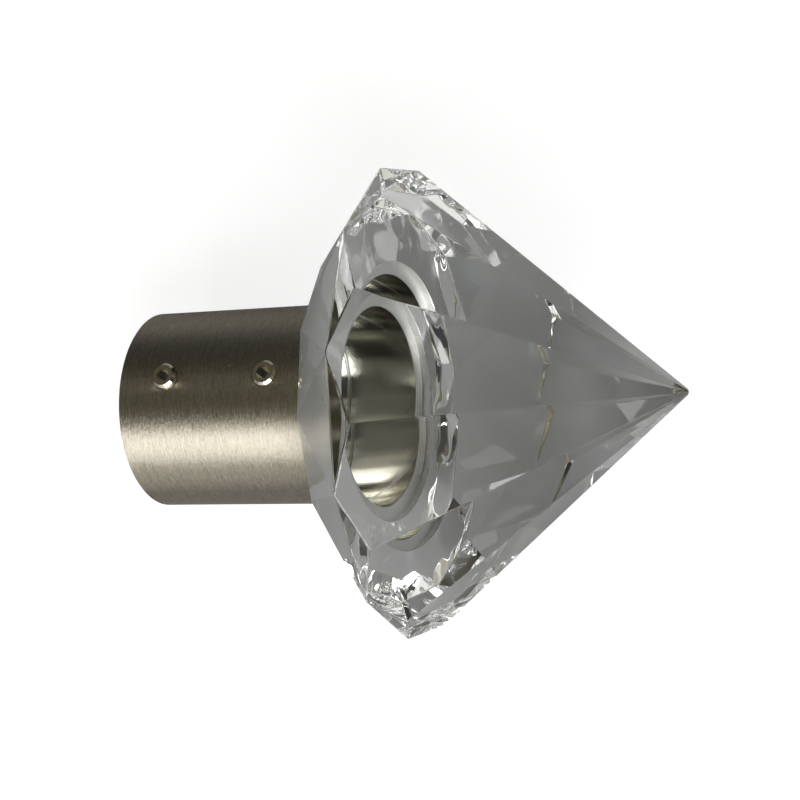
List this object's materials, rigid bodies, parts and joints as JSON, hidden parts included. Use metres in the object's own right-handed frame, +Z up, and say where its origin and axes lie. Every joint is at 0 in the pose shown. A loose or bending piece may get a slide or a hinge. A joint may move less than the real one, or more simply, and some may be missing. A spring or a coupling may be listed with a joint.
{
  "type": "curtain pole finial",
  "caption": "Clear faceted crystal finial, a twelve-sided diamond form whose spigot is bonded into a short brushed metal collar that clamps on a round pole.",
  "frame": {"origin": "middle of the collar's open mouth, on the pole's axis", "axes": "+X along the pole's axis, from the mouth to the crystal's point; +Z up through the two set screws"},
  "size_m": [0.0864, 0.0732, 0.0732],
  "materials": {
    "brushed_nickel": "satin nickel, brushed round its axis",
    "adhesive": "clear cured adhesive",
    "crystal": "clear pressed glass, polished, with slightly rounded facet edges",
    "nickel_screw": "bright nickel plate"
  },
  "bodies": {
    "root": {"collar": "brushed_nickel", "bond": "adhesive", "crystal_head": "crystal", "set_screw_rim": "nickel_screw", "set_screw_head": "nickel_screw"}
  },
  "joints": []
}
